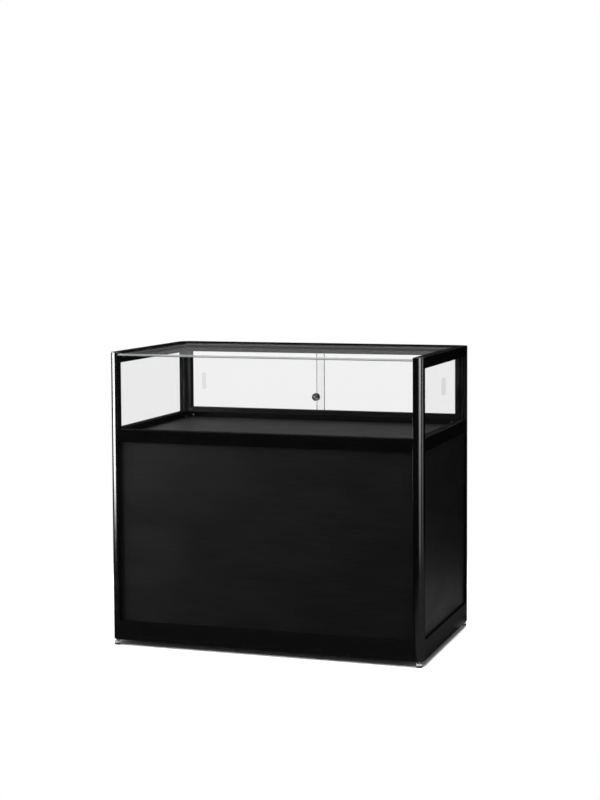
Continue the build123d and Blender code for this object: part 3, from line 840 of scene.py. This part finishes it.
class COUNTER_OT_glass_doors(bpy.types.Operator):
    """Makes the two sliding glass doors with their ground finger pulls"""

    bl_idname = "counter.glass_doors"
    bl_label = "Glass Doors"

    def execute(self, context):
        glass = context.scene.counter_glass
        rail_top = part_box("mid_rail_rear")[1].z
        lock = middle_of("glass_lock_housing")
        materials = [float_glass(), flat_edge_painted_shade(), ground_pull()]
        for hand in (LEFT, RIGHT):
            node = f"glass_door_{HAND_NAME[hand]}"
            low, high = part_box(node)
            ring = np.array([(-high.x, low.z), (-low.x, low.z), (-low.x, high.z),
                             (-high.x, high.z)])
            rings = [ring]
            if hand == LEFT:
                rings.append(circle((-lock.x, lock.z), glass.lock_hole, 40))
            outer = high.x if hand == RIGHT else low.x
            centre = (-(outer - hand * glass.pull_from_edge), rail_top + glass.pull_above_rail)
            dent = pull_dent(centre, glass.pull_width, glass.pull_height, glass.pull_depth, high.y)
            patches = carried(rings, flat_rim(low.y, high.y, glass.door_arris), [dent], rim_kind=1)
            piece(f"{node}_pane", patches, FACING_REAR, (0, 0, 0), node, [node],
                  materials, sharp_angle=math.radians(10))
        finish_nodes(nylon("natural_nylon_extruded", 0xC9C3B4, 0xD8D3C6),
                     "glass_door_left_shoe", "glass_door_right_shoe",
                     "storage_door_left_shoe", "storage_door_right_shoe")
        return {"FINISHED"}


# ---------------------------------------------------------------- cabinet
class COUNTER_OT_boards(bpy.types.Operator):
    """Finishes the deck, the panels, the storage doors and the tracks"""

    bl_idname = "counter.boards"
    bl_label = "Boards And Tracks"

    def execute(self, context):
        finish_nodes(pearl_laminate(), "display_deck", "cabinet_floor")
        finish_nodes(pressed_laminate(), "front_panel", "side_panel_left", "side_panel_right",
                     "storage_door_left", "storage_door_right")
        finish_nodes(track_plastic(), "glass_track_bottom", "glass_track_top",
                     "storage_track_bottom", "storage_track_top",
                     "glass_end_channels", "storage_end_channels")
        return {"FINISHED"}


# ---------------------------------------------------------------- locks
LOCK_AXES = ((1, 0, 0), (0, 0, -1), (0, 1, 0))       # the third axis points to the rear
CHAMFER = 0.3 * MM              # on the ends of the lock's turned parts
RUNNING_GAP = 0.05 * MM         # between parts that turn or slide in each other


def lock_piece(node, made, patches, origin, body, material):
    """A part of a lock, made round the lock's axis, in place of its node."""
    piece(f"{node}_{made}", patches, LOCK_AXES, origin, body, [node], [material])


class COUNTER_OT_locks(bpy.types.Operator):
    """Makes the plunger locks of the glass doors and the storage doors"""

    bl_idname = "counter.locks"
    bl_label = "Locks"

    def execute(self, context):
        settings = context.scene.counter_lock
        for owner in ("glass", "storage"):
            door = f"{owner}_door_left"
            middle = middle_of(f"{owner}_lock_housing")
            origin = (middle.x, 0.0, middle.z)
            self.housing(owner, origin, settings, door)
            self.nut(owner, origin, settings, door)
            self.plunger(owner, origin, settings)
            self.core(owner, origin, settings)
        return {"FINISHED"}

    @staticmethod
    def housing(owner, origin, settings, door):
        """Barrel, flange and collar, turned in one: a closed profile spun round the lock's axis."""
        node = f"{owner}_lock_housing"
        low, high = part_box(node)
        flange = (high.x - low.x) / 2
        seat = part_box(door)[1].y
        step = (high.y - seat) / 2
        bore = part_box(f"{owner}_lock_plunger")
        head = (bore[1].x - bore[0].x) / 2 + RUNNING_GAP
        pin, collar, barrel, wall = 4.05 * MM, 10.5 * MM, 9.5 * MM, 2.5 * MM
        corner = settings.edge_round
        collar_edge = arc(collar - corner, high.y - corner, corner, 90, 0)
        flange_edge = arc(flange - corner, seat + step - corner, corner, 90, 0)
        profile = [(pin, low.y), (pin, low.y + wall), (head, low.y + wall),
                   (head, high.y - CHAMFER), (head + CHAMFER, high.y), *collar_edge,
                   (collar, seat + step), *flange_edge, (flange, seat), (barrel, seat),
                   (barrel, low.y + CHAMFER), (barrel - CHAMFER, low.y), (pin, low.y)]
        lock_piece(node, "turned", [spun(profile, 64)], origin, door, chrome())

    @staticmethod
    def nut(owner, origin, settings, door):
        """Ring nut on the inner face of the door, knurled: its radius falls by the knurl's depth
        times the square of the sine of half the knurls' count times the angle."""
        node = f"{owner}_lock_nut"
        low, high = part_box(node)
        outer, bore, corner = (high.x - low.x) / 2, 9.55 * MM, settings.edge_round
        profile = [(bore, low.y + corner), (bore + corner, low.y), (outer - 2 * corner, low.y),
                   (outer - corner, low.y + 0.3 * corner), (outer, low.y + 1.3 * corner),
                   (outer, high.y - corner), (outer - 0.5 * corner, high.y), (bore, high.y),
                   (bore, low.y + corner)]

        def knurled(angle, radius, height):
            cut = settings.knurl_depth * np.sin(settings.knurls * angle / 2) ** 2
            return np.where(radius > outer - 0.8 * corner, radius - cut, radius)

        patches = [spun(profile, 8 * settings.knurls, knurled)]
        lock_piece(node, "knurled", patches, origin, door, nut_black())

    @staticmethod
    def plunger(owner, origin, settings):
        """Push head with a bore for the lock's core, and the pin that it drives."""
        node = f"{owner}_lock_plunger"
        low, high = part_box(node)
        core_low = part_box(f"{owner}_lock_core")[0]
        head, pin, bore, corner = (high.x - low.x) / 2, 4 * MM, 5.05 * MM, settings.edge_round
        pin_length, mouth = 11.8 * MM, 0.2 * MM
        head_end = low.y + pin_length
        head_edge = arc(head - corner, high.y - corner, corner, 0, 90)
        nose = arc(pin - corner, low.y + corner, corner, -90, 0)
        profile = [(0.0, low.y), *nose, (pin, head_end), (head - CHAMFER, head_end),
                   (head, head_end + CHAMFER), *head_edge, (bore + mouth, high.y),
                   (bore, high.y - mouth), (bore, core_low.y), (0.0, core_low.y)]
        lock_piece(node, "turned", [spun(profile, 64)], origin, node, chrome())

    @staticmethod
    def core(owner, origin, settings):
        """Core of the lock: a short drum with a key slot, whose sides step like a plain keyway."""
        node = f"{owner}_lock_core"
        low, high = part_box(node)
        radius = (high.x - low.x) / 2
        half_l, half_w = settings.keyway_length / 2, settings.keyway_width / 2
        way = np.array([(-half_w, -half_l), (0.2 * half_w, -half_l), (half_w, -0.5 * half_l),
                        (half_w, 0.3 * half_l), (0.3 * half_w, 0.45 * half_l),
                        (half_w, 0.6 * half_l), (half_w, half_l), (-half_w, half_l),
                        (-half_w, 0.1 * half_l),
                        (-0.3 * half_w, -0.1 * half_l), (-half_w, -0.3 * half_l)])
        way = turned_round(way, False)
        floor = high.y - settings.keyway_depth
        walls = np.stack([raised_to(way, floor), raised_to(way, high.y)])
        drum = circle((0, 0), radius, 48)
        corner = 0.25 * MM
        rim = [(0.0, low.y), (0.0, high.y - corner), (0.3 * corner, high.y - 0.3 * corner),
               (corner, high.y)]
        patches = [grid_patch(walls_of(drum, rim)), grid_patch(walls),
                   flat_patch([drum], low.y, False),
                   flat_patch([inset(drum, corner), way], high.y, True),
                   flat_patch([way[::-1]], floor, True)]
        lock_piece(node, "turned", patches, origin, node, brass())


# ---------------------------------------------------------------- feet
class COUNTER_OT_feet(bpy.types.Operator):
    """Makes the four levelling feet and their threaded studs"""

    bl_idname = "counter.feet"
    bl_label = "Levelling Feet"

    def execute(self, context):
        settings = context.scene.counter_foot
        for end, hand in CORNERS:
            place = f"{END_NAME[end]}_{HAND_NAME[hand]}"
            self.pad(place, settings)
            self.stud(place, settings)
        return {"FINISHED"}

    @staticmethod
    def pad(place, settings):
        """Moulded foot: a low disc with a round lower edge, a sloped shoulder and a socket."""
        node = f"foot_pad_{place}"
        low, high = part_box(node)
        middle = (low + high) / 2
        outer = (high.x - low.x) / 2
        socket = settings.spigot_radius + RUNNING_GAP
        floor = high.z - settings.spigot_length - RUNNING_GAP
        under, over = 0.8 * MM, 1.4 * MM
        sole = arc(outer - under, under, under, -90, 0)
        shoulder = arc(outer - over, high.z - over, over, 0, 90)
        profile = [(0.0, 0.0), *sole, *shoulder, (socket, high.z), (socket, floor), (0.0, floor)]
        piece(f"{node}_moulded", [spun(profile, 48)], WORLD_AXES, (middle.x, middle.y, 0.0),
              node, [node], [nylon("black_nylon_moulded", 0x0E0E0F, 0x171718)])

    @staticmethod
    def stud(place, settings):
        """Stud with a hexagon: the radius is a function of angle and height.

        Over the hexagon it is the smaller of the flats' distance over the cosine of the angle
        to the nearest flat, and a cone that chamfers both ends. Over the shaft it falls from
        the crest by a triangle wave of the height over the pitch less the share of a turn.
        """
        node = f"foot_stud_{place}"
        low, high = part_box(node)
        middle = (low + high) / 2
        pad_top = low.z + settings.spigot_length
        hex_top = pad_top + settings.hexagon_height
        crest = 3.95 * MM
        flat, corner = settings.hexagon / 2, settings.hexagon / 2 / math.cos(math.pi / 6)
        chamfer, bevel = 0.7 * (corner - flat), 0.8 * MM
        wide, narrow = corner, corner - 0.3 * chamfer
        rows = int((high.z - hex_top) / settings.thread_pitch * 8)
        spigot, lead, tip_height, tip_inset = settings.spigot_radius, 0.4 * MM, 0.6 * MM, 0.7 * MM
        profile = [(0.0, low.z), (spigot - lead, low.z), (spigot, low.z + lead), (spigot, pad_top)]
        cone = np.linspace(0, 1, 5)
        profile += [(narrow - chamfer * (1 - t) ** 2, pad_top + bevel * t) for t in cone]
        profile += [(narrow, pad_top + bevel), (wide, pad_top + bevel),
                    (wide, hex_top - bevel), (narrow, hex_top - bevel)]
        profile += [(narrow - chamfer * t ** 2, hex_top - bevel * (1 - t)) for t in cone]
        profile += [(crest, height) for height in np.linspace(hex_top, high.z - tip_height, rows)]
        profile += [(crest - tip_inset, high.z), (0.0, high.z)]

        def shaped(angle, radius, height):
            nearest = (angle + np.pi / 6) % (np.pi / 3) - np.pi / 6
            hexagon = np.minimum(radius, flat / np.cos(nearest))
            phase = (height / settings.thread_pitch - angle / (2 * np.pi)) % 1.0
            thread = radius - settings.thread_depth * np.abs(2 * phase - 1)
            over_shaft = (height > hex_top) & (height < high.z) & (radius > 1 * MM)
            plain = np.where(radius > crest + 0.5 * MM, hexagon, radius)
            return np.where(over_shaft, thread, plain)

        piece(f"{node}_threaded", [spun(profile, 48, shaped)], WORLD_AXES,
              (middle.x, middle.y, 0.0), node, [node], [zinc()])


# ---------------------------------------------------------------- stage
SKY_IN_SATIN = 0.18         # how bright the sky is in a satin surface; in a sharp mirror it is 1


def panel_light(name, place, aim, width, height, strength_nodes):
    """A flat light for glossy surfaces only, made as a plane that faces a point."""
    forward = (Vector(aim) - Vector(place)).normalized()
    side = Vector((0, 0, 1)).cross(forward).normalized()
    up = forward.cross(side)
    corners = [Vector(place) + side * u * width / 2 + up * v * height / 2
               for u, v in ((-1, -1), (1, -1), (1, 1), (-1, 1))]
    mesh = bpy.data.meshes.new(name)
    mesh.from_pydata([tuple(corner) for corner in corners], [], [(0, 1, 2, 3)])
    material, tree, output = new_material(f"{name}_glow")
    finish_material(tree, output, strength_nodes(tree))
    mesh.materials.append(material)
    obj = linked(name, mesh)
    obj.visible_camera = False
    obj.visible_diffuse = False
    obj.visible_shadow = False
    obj.visible_transmission = False


def area_light(name, place, aim, size, power):
    """A square soft light for plain surfaces, hidden from mirrors, which see the softboxes."""
    light = bpy.data.lights.new(name, "AREA")
    light.shape = "SQUARE"
    light.size = size
    light.energy = power
    obj = linked(name, light)
    obj.location = place
    obj.rotation_mode = "QUATERNION"
    obj.rotation_quaternion = (Vector(aim) - Vector(place)).to_track_quat("-Z", "Y")
    obj.visible_camera = False
    obj.visible_glossy = False


def either(tree, first, second):
    """The larger of two values."""
    return add(tree, "ShaderNodeMath", {"operation": "MAXIMUM"}, {0: first, 1: second}).outputs[0]


def between(tree, value, low, high, low_to, high_to):
    """Maps a range smoothly to another, and stops at its ends."""
    smooth = {"interpolation_type": "SMOOTHSTEP"}
    sockets = {"Value": value, "From Min": low, "From Max": high,
               "To Min": low_to, "To Max": high_to}
    return add(tree, "ShaderNodeMapRange", smooth, sockets).outputs["Result"]


class COUNTER_OT_stage(bpy.types.Operator):
    """Makes the white floor and backdrop, the lights and the camera"""

    bl_idname = "counter.stage"
    bl_label = "Stage"

    def execute(self, context):
        settings = context.scene.counter_stage
        self.floor()
        self.world(settings)
        self.lights(settings)
        self.camera(settings)
        context.scene.view_settings.view_transform = "Standard"
        return {"FINISHED"}

    @staticmethod
    def floor():
        """A wide disc whose colour turns to the backdrop's white away from the counter.

        Mirrors see it dark, apart from a painted glow of light to the right and painted pools of light
        round the feet.
        """
        radius, sides, below = 9.0, 64, 0.5 * MM
        points = raised_to(circle((0, 0), radius, sides), -below)
        mesh = bpy.data.meshes.new("studio_floor")
        mesh.from_pydata(points.tolist(), [], [tuple(range(sides))])
        obj = linked("studio_floor", mesh)
        material, tree, output = new_material("white_studio_floor")
        place = add(tree, "ShaderNodeTexCoord").outputs["Object"]
        apart = add(tree, "ShaderNodeSeparateXYZ", None, {0: place})
        distance = add(tree, "ShaderNodeVectorMath", {"operation": "LENGTH"}, {0: place})
        path = add(tree, "ShaderNodeLightPath").outputs
        lit = add(tree, "ShaderNodeBsdfDiffuse", None, {"Color": (1, 1, 1, 1)})
        again = add(tree, "ShaderNodeBsdfDiffuse", None, {"Color": (0.9, 0.9, 0.9, 1)})
        bright = add(tree, "ShaderNodeAddShader", None, {0: lit.outputs[0], 1: again.outputs[0]})
        white = add(tree, "ShaderNodeEmission", None, {"Color": (1, 1, 1, 1), "Strength": 1.0})
        fade = between(tree, distance.outputs["Value"], 0.85, 1.5, 0.0, 1.0)
        seen = add(tree, "ShaderNodeMixShader", None,
                   {0: fade, 1: bright.outputs[0], 2: white.outputs[0]})
        unsigned, times = {"operation": "ABSOLUTE"}, {"operation": "MULTIPLY"}
        across = add(tree, "ShaderNodeMath", unsigned, {0: apart.outputs["X"]}).outputs[0]
        depth = add(tree, "ShaderNodeMath", unsigned, {0: apart.outputs["Y"]}).outputs[0]
        # Painted light, seen only in mirrors: a glow beside the right side that fades to front and rear,
        # and pools round the four feet.
        glow = between(tree, apart.outputs["X"], 0.5, 0.56, 0.05, 0.3)
        near = between(tree, depth, 0.6, 1.5, 1.0, 0.03)
        painted_glow_beside = add(tree, "ShaderNodeMath", times, {0: glow, 1: near}).outputs[0]
        painted_light_at_feet = 1.0
        for steps in ((across, 0.43, 0.45, 0.0, 1.0), (across, 0.52, 0.55, 1.0, 0.0),
                      (depth, 0.24, 0.26, 0.0, 1.0), (depth, 0.345, 0.37, 1.0, 0.0)):
            bump = between(tree, *steps)
            painted_light_at_feet = add(tree, "ShaderNodeMath", times, {0: bump, 1: painted_light_at_feet}).outputs[0]
        painted_light_pool = either(tree, painted_glow_beside, painted_light_at_feet)
        mirrored = add(tree, "ShaderNodeEmission", None, {"Color": (1, 1, 1, 1), "Strength": painted_light_pool})
        plain = add(tree, "ShaderNodeBsdfDiffuse", None, {"Color": linear(0xD8D8D6)})
        camera = either(tree, path["Is Camera Ray"], path["Is Transmission Ray"])
        shown = add(tree, "ShaderNodeMixShader", None,
                    {0: camera, 1: plain.outputs[0], 2: seen.outputs[0]})
        full = add(tree, "ShaderNodeMixShader", None,
                   {0: path["Is Glossy Ray"], 1: shown.outputs[0], 2: mirrored.outputs[0]})
        finish_material(tree, output, full.outputs[0])
        mesh.materials.append(material)

    @staticmethod
    def world(settings):
        """White behind everything the camera sees, and a soft ambient.

        A sharp mirror sees a white sky. A satin surface sees a dim one, so that black metal
        and laminate stay black.
        """
        world = bpy.data.worlds.new("studio")
        world.use_nodes = True
        tree = world.node_tree
        tree.nodes.clear()
        path = add(tree, "ShaderNodeLightPath").outputs
        place = add(tree, "ShaderNodeTexCoord").outputs["Generated"]
        rise = add(tree, "ShaderNodeSeparateXYZ", None, {0: place}).outputs["Z"]
        sky = between(tree, rise, 0.0, 0.05, 0.03, 1.0)
        seen = either(tree, path["Is Camera Ray"], path["Is Transmission Ray"])
        soft = {"data_type": "FLOAT"}
        dimmed = add(tree, "ShaderNodeMath", {"operation": "MULTIPLY"}, {0: sky, 1: SKY_IN_SATIN})
        sharp = add(tree, "ShaderNodeMix", soft,
                    {0: path["Is Singular Ray"], 2: dimmed.outputs[0], 3: sky})
        mirrored = add(tree, "ShaderNodeMix", soft,
                       {0: path["Is Glossy Ray"], 2: settings.ambient, 3: sharp.outputs[0]})
        strength = add(tree, "ShaderNodeMix", soft, {0: seen, 2: mirrored.outputs[0], 3: 1.0})
        light = add(tree, "ShaderNodeBackground", None,
                    {"Color": (1, 1, 1, 1), "Strength": strength.outputs[0]})
        output = add(tree, "ShaderNodeOutputWorld")
        tree.links.new(light.outputs[0], output.inputs["Surface"])
        bpy.context.scene.world = world

    @staticmethod
    def lights(settings):
        """Four tall softboxes that only mirrors see, and soft lights for plain surfaces."""
        def softbox(strength, low_share, dark_below, bright_above):
            def nodes(tree):
                place = add(tree, "ShaderNodeTexCoord").outputs["Object"]
                rise = add(tree, "ShaderNodeSeparateXYZ", None, {0: place}).outputs["Z"]
                weak = low_share * strength
                level = between(tree, rise, dark_below, bright_above, weak, strength)
                sharp = add(tree, "ShaderNodeLightPath").outputs["Is Singular Ray"]
                pale = add(tree, "ShaderNodeMix", {"data_type": "FLOAT"},
                           {0: sharp, 2: level, 3: 1.0})
                glow = add(tree, "ShaderNodeEmission", None, {"Strength": pale.outputs[0]})
                return glow.outputs[0]
            return nodes

        # Each softbox stands on the floor and faces a point inside a corner of the counter.
        inside_x, inside_y, reach, tall = 0.48, 0.28, 1.75, 2.2
        # End, hand, angle from the counter's depth, width, strength, share of it low down, and
        # the heights between which it rises.
        boxes = ((FRONT, LEFT, 68, 1.0, settings.softbox_left, 0.03, 0.0, 0.42),
                 (FRONT, RIGHT, 66, 0.8, settings.softbox_right, 0.2, 0.1, 0.95),
                 (REAR, LEFT, 62, 0.9, settings.softbox_rear, 0.3, 0.0, 0.6),
                 (REAR, RIGHT, 92, 0.6, 0.3 * settings.softbox_rear, 0.3, 0.0, 0.6))
        for end, hand, degrees, width, strength, low_share, dark_below, bright_above in boxes:
            turn = math.radians(degrees)
            faced = Vector((hand * inside_x, end * inside_y, tall / 2))
            away = Vector((hand * math.sin(turn), end * math.cos(turn), 0.0))
            panel_light(f"softbox_{END_NAME[end]}_{HAND_NAME[hand]}", faced + reach * away, faced,
                        width, tall, softbox(strength, low_share, dark_below, bright_above))
        area_light("overhead_light", (0.1, -0.3, 2.6), (0, 0, 0.3), 2.6, settings.overhead_power)
        area_light("camera_fill", (0.2, -2.6, 2.5), (0, 0, 0.4), 1.6, settings.fill_power)
        area_light("rear_fill", (-0.2, 2.8, 2.2), (0, 0, 0.4), 1.6, settings.fill_power)

    @staticmethod
    def camera(settings):
        """A camera that stands in front and to the right, a little above the glass top."""
        data = bpy.data.cameras.new("camera")
        data.sensor_width = 36.0
        data.lens = settings.focal_length
        data.shift_y = settings.view_shift
        data.clip_end = 100.0
        yaw, pitch, roll = settings.camera_yaw, settings.camera_pitch, settings.camera_roll
        ahead = Vector((-math.sin(yaw), math.cos(yaw), 0.0))
        forward = math.cos(pitch) * ahead - math.sin(pitch) * Vector((0, 0, 1))
        level = Vector((math.cos(yaw), math.sin(yaw), 0.0))
        down = forward.cross(level)
        right = math.cos(roll) * level + math.sin(roll) * down
        up = math.sin(roll) * level - math.cos(roll) * down
        turned = Matrix((right, up, -forward)).transposed().to_4x4()
        obj = linked("camera", data)
        obj.matrix_world = Matrix.Translation(settings.camera_place) @ turned
        bpy.context.scene.camera = obj


# ---------------------------------------------------------------- sidebar
MAKERS = [COUNTER_OT_posts, COUNTER_OT_post_caps, COUNTER_OT_rails, COUNTER_OT_fixed_glass,
          COUNTER_OT_glass_doors, COUNTER_OT_boards, COUNTER_OT_locks, COUNTER_OT_feet,
          COUNTER_OT_stage]
SETTINGS = {"counter_frame": CounterFrameSettings, "counter_glass": CounterGlassSettings,
            "counter_boards": CounterBoardSettings, "counter_lock": CounterLockSettings,
            "counter_foot": CounterFootSettings, "counter_stage": CounterStageSettings}


class COUNTER_PT_sidebar(bpy.types.Panel):
    """Lists the counter's pieces and their settings"""

    bl_label = "Display Counter"
    bl_idname = "COUNTER_PT_sidebar"
    bl_space_type = "VIEW_3D"
    bl_region_type = "UI"
    bl_category = "Counter"

    def draw(self, context):
        for maker in MAKERS:
            self.layout.operator(maker.bl_idname, text=maker.bl_label)
        for name, group in SETTINGS.items():
            box = self.layout.box()
            box.label(text=name.replace("counter_", "").title())
            for setting in group.__annotations__:
                box.prop(getattr(context.scene, name), setting)


def register():
    for group in SETTINGS.values():
        bpy.utils.register_class(group)
    for name, group in SETTINGS.items():
        setattr(bpy.types.Scene, name, PointerProperty(type=group))
    for maker in [*MAKERS, COUNTER_PT_sidebar]:
        bpy.utils.register_class(maker)


def unregister():
    for maker in [COUNTER_PT_sidebar, *reversed(MAKERS)]:
        bpy.utils.unregister_class(maker)
    for name in SETTINGS:
        delattr(bpy.types.Scene, name)
    for group in SETTINGS.values():
        bpy.utils.unregister_class(group)


def main():
    """Registers the add-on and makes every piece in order."""
    register()
    for maker in MAKERS:
        group, name = maker.bl_idname.split(".")
        getattr(getattr(bpy.ops, group), name)()


if __name__ == "__main__":
    main()
